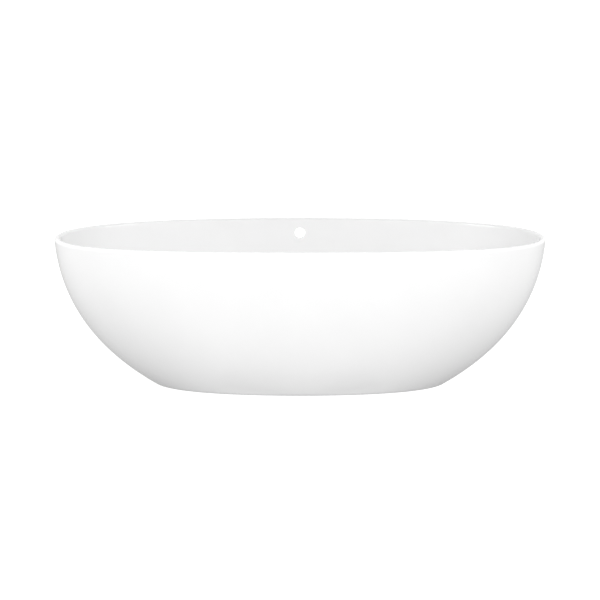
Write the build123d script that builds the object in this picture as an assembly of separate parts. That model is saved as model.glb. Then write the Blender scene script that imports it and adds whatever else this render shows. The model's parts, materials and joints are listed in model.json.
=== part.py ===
from build123d import *
import os
from math import atan, cos, degrees, pi, radians, sin, tan

# A double-ended freestanding bath cast in one piece, with a push-plug waste and four levelling feet.
# Millimetres, +Z up. The origin is on the floor under the middle of the bath: +X runs along the bath,
# -Y is the plain front and +Y is the wall that has the overflow hole.

# ---- the casting ----
LENGTH = 1900.0
WIDTH = 850.0
RIM_HEIGHT = 572.0          # crest of the rim at mid length
RIM_DIP = 8.5               # the crest is this much lower at both ends
LIP_RADIUS = 11.0           # the lip is a full round, so the wall is twice this thick at the top
BASE_LENGTH = 1124.0
BASE_WIDTH = 674.0
BASE_SLOPE = 29.3           # degrees above the floor at which the ends leave it
RIM_LEAN = 5.75             # degrees off upright at which the ends reach the lip
BASE_HANDLE = 226.0         # handle of the end's curve at the floor
RIM_HANDLE = 269.0          # handle of the end's curve under the lip

# Fullness is the handle of a quarter curve as a share of its half axis.
# A circle has 0.5523, and more than that gives squarer corners.
ROUND = 0.5523
RIM_FULLNESS = 0.673
BASE_FULLNESS = 0.616

# ---- the basin and the hollow under it ----
DISH_RADIUS = 60.0          # flat dish round the waste
DISH_HEIGHT = 108.0
CEILING_RADIUS = 80.0       # flat ceiling over the waste's back nut
CEILING_HEIGHT = 84.0
SKIRT_LENGTH = 1032.0       # inner edge of the skirt on the floor
SKIRT_WIDTH = 624.0
WALL_STRAIGHT = 30.0        # the wall keeps its thickness this far below the lip

# Guide rings that the basin and the hollow bend towards without reaching them.
# Each has a half length, its height there, a half width, its height there and a fullness.
BASIN_WALL = (864.0, 58.0, 376.0, 58.0, 0.64)
BASIN_CURVE = (704.0, 161.0, 403.0, 161.0, 0.60)
BASIN_FLOOR = (400.0, 112.0, 190.0, 112.0, 0.57)
HOLLOW_SKIRT = (922.0, 238.0, 404.0, 238.0, 0.616)
HOLLOW_TURN = (606.0, 184.0, 305.0, 184.0, 0.616)
HOLLOW_CURVE = (869.0, 98.0, 468.0, 98.0, 0.60)
HOLLOW_CEILING = (404.0, 95.0, 177.0, 95.0, 0.57)

# ---- the overflow hole ----
OVERFLOW_RADIUS = 21.5
OVERFLOW_DROP = 58.0        # from the crest of the back rim to the hole's axis
OVERFLOW_EDGE = 1.5         # small round on both rims of the hole

# ---- the waste, a 1 1/2 inch thread in a 52 mm hole ----
WASTE_HOLE_RADIUS = 26.0
RECESS_RADIUS = 38.5
RECESS_DEPTH = 3.0
TAIL_RADIUS = 23.9
TAIL_BORE = 21.0
TAIL_END = 38.0
TAIL_CHAMFER = 0.7
GROOVE_LOW = 65.5           # runout groove between the tail's thread and the back nut's
GROOVE_HIGH = 67.0
GROOVE_DEPTH = 1.1
FLANGE_RADIUS = 36.0
FLANGE_THICKNESS = 2.5
FLANGE_BEVEL = 0.8
SEAT_DEPTH = 2.2            # the flange falls this far from the cap's edge to the mouth
MOUTH_DEPTH = 4.2
MOUTH_LIP = 2.0
GASKET_RADIUS = 35.0
GASKET_THICKNESS = 1.3
WASHER_RADIUS = 36.0
WASHER_BORE = 24.4
UNDER_SEAL_THICKNESS = 4.0
SLIP_WASHER_THICKNESS = 1.5
BACK_NUT_FLATS = 60.0
BACK_NUT_THICKNESS = 10.5

# ---- the sprung cartridge and the push plug, which stands open at rest ----
ARM_WIDTH = 3.0
ARM_BOTTOM = 68.0
ARM_TOP = 74.0
HUB_RADIUS = 9.0
HUB_TOP = 77.0
SLEEVE_RADIUS = 6.5
SLEEVE_BORE = 5.0
SLEEVE_BOTTOM = 66.0
SLEEVE_FLOOR = 69.5
DRAIN_RADIUS = 1.7
SLEEVE_TOP = 98.0
BUSH_BOTTOM = 94.0
STEM_RADIUS = 3.0
RUNNING_GAP = 0.05
COLLAR_RADIUS = 4.9
COLLAR_BOTTOM = 90.0
PILOT_RADIUS = 2.8
PILOT_BOTTOM = 84.0
SPRING_RADIUS = 4.1
SPRING_WIRE = 0.8
SPRING_TURNS = 6
CAP_RADIUS = 31.0
CAP_UNDERSIDE = 118.6
CAP_EDGE = 1.6
CAP_TOP = 124.0
CAP_BOSS_RADIUS = 6.0
CAP_BOSS_TOP = 117.6        # end of the boss's blind bore, where the stem stops
CAP_BOSS_BOTTOM = 107.6
SEAL_BORE = 12.0
SEAL_RADIUS = 23.8
SEAL_THICKNESS = 2.4
KEEPER_RADIUS = 13.5        # the step under the seal
KEEPER_THICKNESS = 0.8

# ---- the levelling feet, M12 studs in threaded inserts ----
FOOT_X = 400.0
FOOT_Y = 170.0
BOSS_RADIUS = 34.0
BOSS_DRAFT = 5.0
BOSS_BOTTOM = 50.0
BOSS_ROOT = 120.0           # inside the casting, above the ceiling
INSERT_RADIUS = 9.0
INSERT_LENGTH = 30.0
INSERT_FLANGE_RADIUS = 13.0
INSERT_FLANGE = 2.0
SOCKET_TOP = 84.0
STUD_RADIUS = 6.0
STUD_BOTTOM = 6.0
STUD_TOP = 76.0
STUD_CHAMFER = 1.2
LOCK_NUT_FLATS = 19.0
LOCK_NUT_THICKNESS = 7.0
SOLE_RADIUS = 24.0
SOLE_THICKNESS = 2.0
PAD_RADIUS = 25.0
PAD_EDGE_TOP = 8.0
PAD_BEVEL = 1.0
PAD_HUB_RADIUS = 11.0
PAD_HUB_TOP = 20.0

QUARTERS = ((1, 1), (-1, 1), (-1, -1), (1, -1))
FEET = {
    "front_left": (-FOOT_X, -FOOT_Y),
    "front_right": (FOOT_X, -FOOT_Y),
    "back_right": (FOOT_X, FOOT_Y),
    "back_left": (-FOOT_X, FOOT_Y),
}


# ---- rings, skins and turned pieces ----

def ring(half_length, end_height, half_width, side_height, fullness):
    """One closed level curve round the bath, given where it crosses an end and a side."""
    return half_length, end_height, half_width, side_height, fullness


def quarter(a_ring, along, across):
    """The four control points of one quarter of a ring, from an end round to a side."""
    half_length, end_height, half_width, side_height, fullness = a_ring
    x = along * half_length
    y = across * half_width
    return [(x, 0, end_height), (x, fullness * y, end_height),
            (fullness * x, y, side_height), (0, y, side_height)]


def skin(rings):
    """Four smooth faces that follow a stack of rings."""
    faces = []
    for along, across in QUARTERS:
        net = [quarter(a_ring, along, across) for a_ring in rings]
        faces.append(Face.make_bezier_surface(net))
    return faces


def ring_wire(a_ring):
    """The closed curve of one ring."""
    return Wire([Edge.make_bezier(*quarter(a_ring, along, across)) for along, across in QUARTERS])


def flat_face(outer_ring, inner_ring=None):
    """The level face inside a ring, with or without a hole."""
    holes = [ring_wire(inner_ring)] if inner_ring else None
    return Face(ring_wire(outer_ring), holes)


def turned(outline):
    """A solid turned about the Z axis from (radius, height) corners."""
    corners = [(radius, 0, height) for radius, height in outline]
    return revolve(make_face(Polyline(*corners, close=True)), Axis.Z)


def rod(radius, low, high):
    """A round bar on the Z axis."""
    return Pos(0, 0, (low + high) / 2) * Cylinder(radius, high - low)


def washer(bore, radius, low, high):
    """A flat ring on the Z axis."""
    return rod(radius, low, high) - rod(bore, low, high)


def hex_nut(flats, bore, low, high):
    """A hexagon nut with its outer corners turned off."""
    prism = Pos(0, 0, low) * extrude(RegularPolygon(flats / 2, 6, major_radius=False), high - low)
    corner = flats / 2 / cos(radians(30))
    bevel = (corner - flats / 2) * tan(radians(30))
    turning = turned([(0, low), (flats / 2, low), (corner, low + bevel),
                      (corner, high - bevel), (flats / 2, high), (0, high)])
    return (prism & turning) - rod(bore, low, high)


# ---- the casting ----

def side_lean():
    """How far off upright the long sides reach the lip, in degrees."""
    return degrees(atan(side_share() * tan(radians(RIM_LEAN))))


def side_share():
    """How much the long sides spread for each millimetre that the ends spread."""
    return (WIDTH - BASE_WIDTH) / (LENGTH - BASE_LENGTH)


def lip_ring(inset, rise, end_lean_run=0.0, side_lean_run=0.0):
    """A ring of the lip, measured in from the outline and up from the lip's foot."""
    end_foot = RIM_HEIGHT - RIM_DIP - LIP_RADIUS
    side_foot = RIM_HEIGHT - LIP_RADIUS
    return ring(LENGTH / 2 - inset + end_lean_run, end_foot + rise,
                WIDTH / 2 - inset + side_lean_run, side_foot + rise, RIM_FULLNESS)


def leaning_ring(inset, along_wall):
    """A ring reached from the lip's foot by going this far along the leaning wall."""
    rise = along_wall * cos(radians(RIM_LEAN))
    end_run = along_wall * sin(radians(RIM_LEAN))
    side_run = rise * tan(radians(side_lean()))
    return lip_ring(inset, rise, end_run, side_run)


def outer_rings():
    """The outer wall, from the floor to the foot of the lip."""
    run = BASE_HANDLE * cos(radians(BASE_SLOPE))
    rise = BASE_HANDLE * sin(radians(BASE_SLOPE))
    step = (RIM_FULLNESS - BASE_FULLNESS) / 3
    floor_ring = ring(BASE_LENGTH / 2, 0, BASE_WIDTH / 2, 0, BASE_FULLNESS)
    low_ring = ring(BASE_LENGTH / 2 + run, rise,
                    BASE_WIDTH / 2 + run * side_share(), rise, BASE_FULLNESS + step)
    high_ring = leaning_ring(0, -RIM_HANDLE)[:4] + (RIM_FULLNESS - step,)
    return [floor_ring, low_ring, high_ring, lip_ring(0, 0)]


def lip_rings():
    """The outer and inner halves of the round lip."""
    arc = ROUND * LIP_RADIUS
    wall = 2 * LIP_RADIUS
    crest = lip_ring(LIP_RADIUS, LIP_RADIUS)
    outside = [lip_ring(0, 0), leaning_ring(0, arc), lip_ring(LIP_RADIUS - arc, LIP_RADIUS), crest]
    inside = [crest, lip_ring(LIP_RADIUS + arc, LIP_RADIUS), leaning_ring(wall, arc), lip_ring(wall, 0)]
    return outside, inside


def basin_rings():
    """The basin, from the lip down an even wall, over a wide curve and along the floor to the dish."""
    wall = 2 * LIP_RADIUS
    dish = ring(DISH_RADIUS, DISH_HEIGHT, DISH_RADIUS, DISH_HEIGHT, ROUND)
    return [lip_ring(wall, 0), leaning_ring(wall, -WALL_STRAIGHT),
            BASIN_WALL, BASIN_CURVE, BASIN_FLOOR, dish]


def hollow_rings():
    """The hollow underneath, up inside the skirt and back under the basin to the flat ceiling."""
    foot = ring(SKIRT_LENGTH / 2, 0, SKIRT_WIDTH / 2, 0, BASE_FULLNESS)
    ceiling = ring(CEILING_RADIUS, CEILING_HEIGHT, CEILING_RADIUS, CEILING_HEIGHT, ROUND)
    return [foot, HOLLOW_SKIRT, HOLLOW_TURN, HOLLOW_CURVE, HOLLOW_CEILING, ceiling]


def casting():
    """The closed casting before anything is drilled."""
    outside, inside = lip_rings()
    outer = outer_rings()
    basin = basin_rings()
    hollow = hollow_rings()
    faces = skin(outer) + skin(outside) + skin(inside) + skin(basin) + skin(hollow)
    faces += [flat_face(basin[-1]), flat_face(hollow[-1]), flat_face(outer[0], hollow[0])]
    return Solid(Shell(faces))


def foot_boss():
    """A tapered boss that holds a foot's threaded insert."""
    middle = (BOSS_BOTTOM + BOSS_ROOT) / 2
    cone = Cone(BOSS_RADIUS - BOSS_DRAFT, BOSS_RADIUS, BOSS_ROOT - BOSS_BOTTOM)
    return Pos(0, 0, middle) * cone


def overflow_drill():
    """The drill for the overflow hole, through the back wall only."""
    height = RIM_HEIGHT - OVERFLOW_DROP
    return Pos(0, WIDTH / 2, height) * Rot(90, 0, 0) * Cylinder(OVERFLOW_RADIUS, WIDTH / 4)


def is_overflow_edge(edge):
    """True for the two rims of the overflow hole."""
    return edge.center().Y > WIDTH / 3 and edge.length < 3 * pi * OVERFLOW_RADIUS


def bath_shell():
    """The bath: lip, basin and skirt in one casting, drilled for the overflow, waste and feet."""
    body = casting()
    for x, y in FEET.values():
        body = body + Pos(x, y, 0) * foot_boss()
    for x, y in FEET.values():
        body = body - Pos(x, y, 0) * rod(INSERT_RADIUS, BOSS_BOTTOM, SOCKET_TOP)
    body = body - rod(RECESS_RADIUS, DISH_HEIGHT - RECESS_DEPTH, DISH_HEIGHT + RECESS_DEPTH)
    body = body - rod(WASTE_HOLE_RADIUS, CEILING_HEIGHT - RECESS_DEPTH, DISH_HEIGHT)
    body = body - overflow_drill()
    rims = body.edges().filter_by(is_overflow_edge)
    return fillet(rims, OVERFLOW_EDGE)


# ---- the levelling feet ----

def foot_insert():
    """A flanged threaded insert, pressed up into a boss."""
    barrel = rod(INSERT_RADIUS, BOSS_BOTTOM, BOSS_BOTTOM + INSERT_LENGTH)
    flange = rod(INSERT_FLANGE_RADIUS, BOSS_BOTTOM - INSERT_FLANGE, BOSS_BOTTOM)
    bore = rod(STUD_RADIUS + RUNNING_GAP, 0, SOCKET_TOP)
    return barrel + flange - bore


def lock_nut():
    """The thin nut that locks a stud against its insert."""
    top = BOSS_BOTTOM - INSERT_FLANGE
    return hex_nut(LOCK_NUT_FLATS, STUD_RADIUS + RUNNING_GAP, top - LOCK_NUT_THICKNESS, top)


def foot_stud():
    """The threaded stud of a foot."""
    return turned([(0, STUD_BOTTOM), (STUD_RADIUS, STUD_BOTTOM), (STUD_RADIUS, STUD_TOP - STUD_CHAMFER),
                   (STUD_RADIUS - STUD_CHAMFER, STUD_TOP), (0, STUD_TOP)])


def foot_pad():
    """The moulded pad on the foot's lower end, with a hub round the stud."""
    pad = turned([(0, SOLE_THICKNESS), (PAD_RADIUS, SOLE_THICKNESS),
                  (PAD_RADIUS, PAD_EDGE_TOP - PAD_BEVEL), (PAD_RADIUS - PAD_BEVEL, PAD_EDGE_TOP),
                  (PAD_HUB_RADIUS + PAD_BEVEL, PAD_EDGE_TOP + PAD_BEVEL),
                  (PAD_HUB_RADIUS, PAD_HUB_TOP), (0, PAD_HUB_TOP)])
    return pad - rod(STUD_RADIUS, STUD_BOTTOM, PAD_HUB_TOP)


def foot_sole():
    """The rubber sole that grips the floor."""
    return rod(SOLE_RADIUS, 0, SOLE_THICKNESS)


# ---- the waste ----

def flange_bottom():
    """Height of the flange's underside, on its gasket."""
    return DISH_HEIGHT - RECESS_DEPTH + GASKET_THICKNESS


def waste_body():
    """The flanged body with its threaded tail and the cross that carries the cartridge."""
    low = flange_bottom()
    top = low + FLANGE_THICKNESS
    groove = TAIL_RADIUS - GROOVE_DEPTH
    body = turned([(TAIL_RADIUS - TAIL_CHAMFER, TAIL_END), (TAIL_RADIUS, TAIL_END + TAIL_CHAMFER),
                   (TAIL_RADIUS, GROOVE_LOW), (groove, GROOVE_LOW), (groove, GROOVE_HIGH),
                   (TAIL_RADIUS, GROOVE_HIGH), (TAIL_RADIUS, low), (FLANGE_RADIUS, low),
                   (FLANGE_RADIUS, top - FLANGE_BEVEL), (FLANGE_RADIUS - FLANGE_BEVEL, top),
                   (CAP_RADIUS, top), (TAIL_BORE + MOUTH_LIP, top - SEAT_DEPTH),
                   (TAIL_BORE, top - MOUTH_DEPTH), (TAIL_BORE, TAIL_END)])
    arm_middle = Pos(0, 0, (ARM_BOTTOM + ARM_TOP) / 2)
    arm = Box(TAIL_BORE + TAIL_RADIUS, ARM_WIDTH, ARM_TOP - ARM_BOTTOM)
    cross = arm_middle * arm + arm_middle * Rot(0, 0, 90) * arm
    hub = rod(HUB_RADIUS, SLEEVE_BOTTOM, HUB_TOP)
    return body + cross + hub - rod(SLEEVE_RADIUS, SLEEVE_BOTTOM, HUB_TOP)


def flange_gasket():
    """The foam gasket between the flange and the recess."""
    low = DISH_HEIGHT - RECESS_DEPTH
    return washer(WASHER_BORE, GASKET_RADIUS, low, low + GASKET_THICKNESS)


def under_seal():
    """The thick rubber seal against the ceiling."""
    return washer(WASHER_BORE, WASHER_RADIUS, CEILING_HEIGHT - UNDER_SEAL_THICKNESS, CEILING_HEIGHT)


def slip_washer():
    """The slippery washer that lets the back nut turn without dragging the seal."""
    top = CEILING_HEIGHT - UNDER_SEAL_THICKNESS
    return washer(WASHER_BORE, WASHER_RADIUS, top - SLIP_WASHER_THICKNESS, top)


def back_nut():
    """The large nut that clamps the waste."""
    top = CEILING_HEIGHT - UNDER_SEAL_THICKNESS - SLIP_WASHER_THICKNESS
    return hex_nut(BACK_NUT_FLATS, TAIL_RADIUS, top - BACK_NUT_THICKNESS, top)


def cartridge_sleeve():
    """The cup that screws into the cross and holds the spring, with a drain hole in its floor."""
    cup = rod(SLEEVE_RADIUS, SLEEVE_BOTTOM, SLEEVE_TOP) - rod(SLEEVE_BORE, SLEEVE_FLOOR, SLEEVE_TOP)
    return cup - rod(DRAIN_RADIUS, SLEEVE_BOTTOM, SLEEVE_FLOOR)


def cartridge_bush():
    """The bush that closes the sleeve and guides the stem."""
    return washer(STEM_RADIUS + RUNNING_GAP, SLEEVE_BORE, BUSH_BOTTOM, SLEEVE_TOP)


def cartridge_spring():
    """The spring that pushes the plug back up."""
    low = SLEEVE_FLOOR + SPRING_WIRE / 2 + RUNNING_GAP
    height = COLLAR_BOTTOM - SPRING_WIRE / 2 - RUNNING_GAP - low
    line = Helix(pitch=height / SPRING_TURNS, height=height, radius=SPRING_RADIUS)
    section = Plane(line @ 0, z_dir=line % 0) * Circle(SPRING_WIRE / 2)
    return Pos(0, 0, low) * sweep(section, path=line, is_frenet=True)


def plug_stem():
    """The stem that runs in the cartridge and carries the cap."""
    return turned([(0, PILOT_BOTTOM), (PILOT_RADIUS, PILOT_BOTTOM), (PILOT_RADIUS, COLLAR_BOTTOM),
                   (COLLAR_RADIUS, COLLAR_BOTTOM), (COLLAR_RADIUS, BUSH_BOTTOM),
                   (STEM_RADIUS, BUSH_BOTTOM), (STEM_RADIUS, CAP_BOSS_TOP), (0, CAP_BOSS_TOP)])


def plug_cap():
    """The domed cap, with a boss down to the stem and a step that keeps the seal."""
    seal_low = CAP_UNDERSIDE - SEAL_THICKNESS
    keeper_low = seal_low - KEEPER_THICKNESS
    blank = turned([(0, CAP_BOSS_BOTTOM), (CAP_BOSS_RADIUS, CAP_BOSS_BOTTOM), (CAP_BOSS_RADIUS, keeper_low),
                    (KEEPER_RADIUS, keeper_low), (KEEPER_RADIUS, seal_low), (SEAL_BORE, seal_low),
                    (SEAL_BORE, CAP_UNDERSIDE), (CAP_RADIUS, CAP_UNDERSIDE),
                    (CAP_RADIUS, CAP_TOP), (0, CAP_TOP)])
    dome_rise = CAP_TOP - CAP_UNDERSIDE - CAP_EDGE
    dome_radius = (CAP_RADIUS ** 2 + dome_rise ** 2) / (2 * dome_rise)
    dome = Pos(0, 0, CAP_TOP - dome_radius) * Sphere(dome_radius)
    return (blank & dome) - rod(STEM_RADIUS, CAP_BOSS_BOTTOM, CAP_BOSS_TOP)


def plug_seal():
    """The flat rubber ring under the cap."""
    return washer(SEAL_BORE, SEAL_RADIUS, CAP_UNDERSIDE - SEAL_THICKNESS, CAP_UNDERSIDE)


# ---- the nodes ----

def at_each_foot(piece):
    """One copy of a piece at each foot, as separate solids in one node."""
    return Compound(children=[Pos(x, y, 0) * piece for x, y in FEET.values()])


nodes = {
    "bath_shell": bath_shell(),
    "foot_inserts": at_each_foot(foot_insert()),
    "foot_lock_nuts": at_each_foot(lock_nut()),
    "waste_body": waste_body(),
    "waste_flange_gasket": flange_gasket(),
    "waste_under_seal": under_seal(),
    "waste_slip_washer": slip_washer(),
    "waste_back_nut": back_nut(),
    "cartridge_sleeve": cartridge_sleeve(),
    "cartridge_bush": cartridge_bush(),
    "cartridge_spring": cartridge_spring(),
    "plug_stem": plug_stem(),
    "plug_cap": plug_cap(),
    "plug_seal": plug_seal(),
}
for place, (foot_x, foot_y) in FEET.items():
    nodes["foot_" + place + "_stud"] = Pos(foot_x, foot_y, 0) * foot_stud()
    nodes["foot_" + place + "_pad"] = Pos(foot_x, foot_y, 0) * foot_pad()
    nodes["foot_" + place + "_sole"] = Pos(foot_x, foot_y, 0) * foot_sole()

os.makedirs("parts", exist_ok=True)
for node, shape in nodes.items():
    export_step(shape, "parts/" + node + ".step")
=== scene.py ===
import json
import math

import bmesh
import bpy
import numpy as np
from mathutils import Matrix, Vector


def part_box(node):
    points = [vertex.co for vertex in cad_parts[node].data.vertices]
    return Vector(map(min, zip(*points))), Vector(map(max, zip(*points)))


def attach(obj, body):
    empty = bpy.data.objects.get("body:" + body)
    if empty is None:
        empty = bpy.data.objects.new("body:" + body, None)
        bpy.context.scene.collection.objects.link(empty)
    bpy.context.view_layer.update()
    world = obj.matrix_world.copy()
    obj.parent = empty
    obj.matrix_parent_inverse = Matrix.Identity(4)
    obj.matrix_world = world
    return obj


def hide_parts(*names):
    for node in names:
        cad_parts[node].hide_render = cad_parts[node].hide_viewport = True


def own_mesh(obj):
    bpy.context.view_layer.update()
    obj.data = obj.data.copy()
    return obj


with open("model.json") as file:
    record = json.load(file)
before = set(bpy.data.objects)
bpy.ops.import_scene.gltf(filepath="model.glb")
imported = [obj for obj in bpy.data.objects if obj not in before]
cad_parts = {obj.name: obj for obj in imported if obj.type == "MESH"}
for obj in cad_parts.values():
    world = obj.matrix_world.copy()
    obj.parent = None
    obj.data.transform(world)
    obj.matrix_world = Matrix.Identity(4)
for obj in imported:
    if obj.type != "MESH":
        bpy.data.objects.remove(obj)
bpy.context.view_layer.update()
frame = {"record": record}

# A double-ended freestanding bath: one gel-coated casting with a full-round rim, a bare overflow hole
# in its back wall, a chromed push-plug waste in its floor and four levelling feet out of sight.
# Metres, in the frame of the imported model: +X along the bath, +Y towards the overflow hole, +Z up.

MM = 0.001


# ---- sizes ----

shell_low, shell_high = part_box("bath_shell")
HALF_LENGTH = round(shell_high.x, 3)
HALF_WIDTH = round(shell_high.y, 3)
RIM_HEIGHT = shell_high.z
RIM_DIP = 8.5 * MM              # the crest is this much lower at both ends
LIP_RADIUS = 11 * MM
BASE_HALF_LENGTH = 562 * MM
BASE_HALF_WIDTH = 337 * MM
BASE_SLOPE = math.radians(29.3)
RIM_LEAN = math.radians(5.75)
BASE_HANDLE = 226 * MM
RIM_HANDLE = 269 * MM
ROUND = 0.5523                  # the handle of a quarter circle, as a share of its radius
RIM_FULLNESS = 0.673
BASE_FULLNESS = 0.616
BASE_EDGE = 1.0 * MM            # the cast arris on the floor is just broken
ARRIS_SHARE = 0.003             # the outer wall starts this share of its height above the arris
SKIRT_HALF_LENGTH = 516 * MM
SKIRT_HALF_WIDTH = 312 * MM
WALL_STRAIGHT = 30 * MM         # the wall keeps its thickness this far below the lip
SIDE_SHARE = (HALF_WIDTH - BASE_HALF_WIDTH) / (HALF_LENGTH - BASE_HALF_LENGTH)

# Guide rings that the basin and the hollow bend towards without reaching them: a half length, its
# height there, a half width, its height there, and a fullness.
BASIN_WALL = (864 * MM, 58 * MM, 376 * MM, 58 * MM, 0.64)
BASIN_CURVE = (704 * MM, 161 * MM, 403 * MM, 161 * MM, 0.60)
BASIN_FLOOR = (400 * MM, 112 * MM, 190 * MM, 112 * MM, 0.57)
HOLLOW_CEILING = (404 * MM, 95 * MM, 177 * MM, 95 * MM, 0.57)
HOLLOW_CURVE = (869 * MM, 98 * MM, 468 * MM, 98 * MM, 0.60)
HOLLOW_TURN = (606 * MM, 184 * MM, 305 * MM, 184 * MM, BASE_FULLNESS)
HOLLOW_SKIRT = (922 * MM, 238 * MM, 404 * MM, 238 * MM, BASE_FULLNESS)

DISH_RADIUS = 60 * MM
DISH_HEIGHT = 108 * MM
CEILING_RADIUS = 80 * MM
CEILING_HEIGHT = 84 * MM
RECESS_RADIUS = 38.5 * MM
RECESS_DEPTH = 3 * MM
WASTE_HOLE_RADIUS = 26 * MM
SOFT_EDGE = 0.8 * MM

OVERFLOW = frame["record"]["mounts"][0]
OVERFLOW_RADIUS = OVERFLOW["dims"]["r_mm"] * MM
OVERFLOW_HEIGHT = OVERFLOW["pos_m"][2]
OVERFLOW_EDGE = 1.5 * MM

FEET = ("front_left", "front_right", "back_right", "back_left")
FOOT_BOSS_BOTTOM = 50 * MM
FOOT_BOSS_RADIUS = 29 * MM
FOOT_BOSS_DRAFT = 5 / 70        # the boss grows this much in radius for each metre up
FOOT_BOSS_BLEND = 6 * MM        # fillet where the boss leaves the underside
FOOT_BOSS_EDGE = 2 * MM
FOOT_SOCKET_RADIUS = 9 * MM
FOOT_SOCKET_TOP = 84 * MM


# ---- the bath's surfaces, as stacks of level rings ----

def rim_ring(inset, rise, end_run=0.0, side_run=0.0):
    """A ring measured in from the outline and up from the foot of the round lip."""
    end_foot = RIM_HEIGHT - RIM_DIP - LIP_RADIUS
    side_foot = RIM_HEIGHT - LIP_RADIUS
    return (HALF_LENGTH - inset + end_run, end_foot + rise,
            HALF_WIDTH - inset + side_run, side_foot + rise, RIM_FULLNESS)


def leaning_ring(inset, along_wall):
    """A ring reached from the foot of the lip by going along the leaning wall."""
    rise = along_wall * math.cos(RIM_LEAN)
    run = along_wall * math.sin(RIM_LEAN)
    return rim_ring(inset, rise, run, run * SIDE_SHARE)


def level_ring(radius, height):
    """A true circle round the waste."""
    return (radius, height, radius, height, ROUND)


def outer_rings():
    """The outer wall, from the floor to the foot of the lip."""
    run = BASE_HANDLE * math.cos(BASE_SLOPE)
    rise = BASE_HANDLE * math.sin(BASE_SLOPE)
    step = (RIM_FULLNESS - BASE_FULLNESS) / 3
    return [(BASE_HALF_LENGTH, 0, BASE_HALF_WIDTH, 0, BASE_FULLNESS),
            (BASE_HALF_LENGTH + run, rise,
             BASE_HALF_WIDTH + run * SIDE_SHARE, rise, BASE_FULLNESS + step),
            leaning_ring(0, -RIM_HANDLE)[:4] + (RIM_FULLNESS - step,),
            rim_ring(0, 0)]


def lip_outer_rings():
    """The outer half of the round lip."""
    arc = ROUND * LIP_RADIUS
    return [rim_ring(0, 0), leaning_ring(0, arc),
            rim_ring(LIP_RADIUS - arc, LIP_RADIUS), rim_ring(LIP_RADIUS, LIP_RADIUS)]


def lip_inner_rings():
    """The inner half of the round lip."""
    arc = ROUND * LIP_RADIUS
    wall = 2 * LIP_RADIUS
    return [rim_ring(LIP_RADIUS, LIP_RADIUS), rim_ring(LIP_RADIUS + arc, LIP_RADIUS),
            leaning_ring(wall, arc), rim_ring(wall, 0)]


def basin_rings():
    """The basin: an even wall, a wide curve, and the floor falling to the dish."""
    wall = 2 * LIP_RADIUS
    return [rim_ring(wall, 0), leaning_ring(wall, -WALL_STRAIGHT), BASIN_WALL, BASIN_CURVE, BASIN_FLOOR,
            level_ring(DISH_RADIUS, DISH_HEIGHT)]


def recess_rings():
    """The recess for the waste's flange and the hole through its floor; four rings down it is polished."""
    floor = DISH_HEIGHT - RECESS_DEPTH
    return [level_ring(RECESS_RADIUS + SOFT_EDGE, DISH_HEIGHT),
            level_ring(RECESS_RADIUS + SOFT_EDGE * 0.3, DISH_HEIGHT - SOFT_EDGE * 0.3),
            level_ring(RECESS_RADIUS, DISH_HEIGHT - SOFT_EDGE),
            level_ring(RECESS_RADIUS, floor), level_ring(WASTE_HOLE_RADIUS, floor),
            level_ring(WASTE_HOLE_RADIUS, CEILING_HEIGHT)]


def hollow_rings():
    """The hollow underneath, from its flat ceiling out under the basin and down inside the skirt."""
    return [level_ring(CEILING_RADIUS, CEILING_HEIGHT), HOLLOW_CEILING, HOLLOW_CURVE, HOLLOW_TURN,
            HOLLOW_SKIRT, (SKIRT_HALF_LENGTH, 0, SKIRT_HALF_WIDTH, 0, BASE_FULLNESS)]


def bezier_weights(degree, shares):
    """How much each control point counts at each share of the way along a curve."""
    shares = np.atleast_1d(shares)[:, None]
    steps = np.arange(degree + 1)
    counts = np.array([math.comb(degree, i) for i in steps])
    return counts * shares ** steps * (1 - shares) ** (degree - steps)


def ring_net(rings):
    """Control points of the quarter between the +X end and the +Y side."""
    return np.array([[(x, 0, end), (x, full * y, end), (full * x, y, side), (0, y, side)]
                     for x, end, y, side, full in rings])


def quarter_places(turns):
    """Quarter-curve weights and signs; a turn of 1 is a quarter of the way round from the +X end."""
    turns = np.atleast_1d(turns) % 4
    quarter = np.floor(turns).astype(int)
    share = turns - quarter
    share = np.where(quarter % 2, 1 - share, share)
    signs = np.array([(1, 1, 1), (-1, 1, 1), (-1, -1, 1), (1, -1, 1)])[quarter]
    return bezier_weights(3, share), signs


def skin_grid(rings, turns, shares):
    """Points of a surface: one row for each share of its height, one column for each turn."""
    around, signs = quarter_places(turns)
    along = bezier_weights(len(rings) - 1, shares)
    return np.einsum("ri,cj,ijk->rck", along, around, ring_net(rings)) * signs


def skin_points(rings, turns, shares):
    """Points of a surface at paired turns and shares."""
    around, signs = quarter_places(turns)
    along = bezier_weights(len(rings) - 1, shares)
    return np.einsum("pi,pj,ijk->pk", along, around, ring_net(rings)) * signs


def find_on_skin(rings, targets, axes, turn, share):
    """Turns and shares at which a surface passes over points given by two of their coordinates."""
    turns = np.full(len(targets), float(turn))
    shares = np.full(len(targets), float(share))
    nudge = 1e-5
    rounds = 12
    for _ in range(rounds):
        here = skin_points(rings, turns, shares)[:, axes]
        by_turn = (skin_points(rings, turns + nudge, shares)[:, axes] - here) / nudge
        by_share = (skin_points(rings, turns, shares + nudge)[:, axes] - here) / nudge
        off = targets - here
        size = by_turn[:, 0] * by_share[:, 1] - by_turn[:, 1] * by_share[:, 0]
        turns += (off[:, 0] * by_share[:, 1] - off[:, 1] * by_share[:, 0]) / size
        shares += (by_turn[:, 0] * off[:, 1] - by_turn[:, 1] * off[:, 0]) / size
    return turns, shares


# ---- mesh making ----

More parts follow.
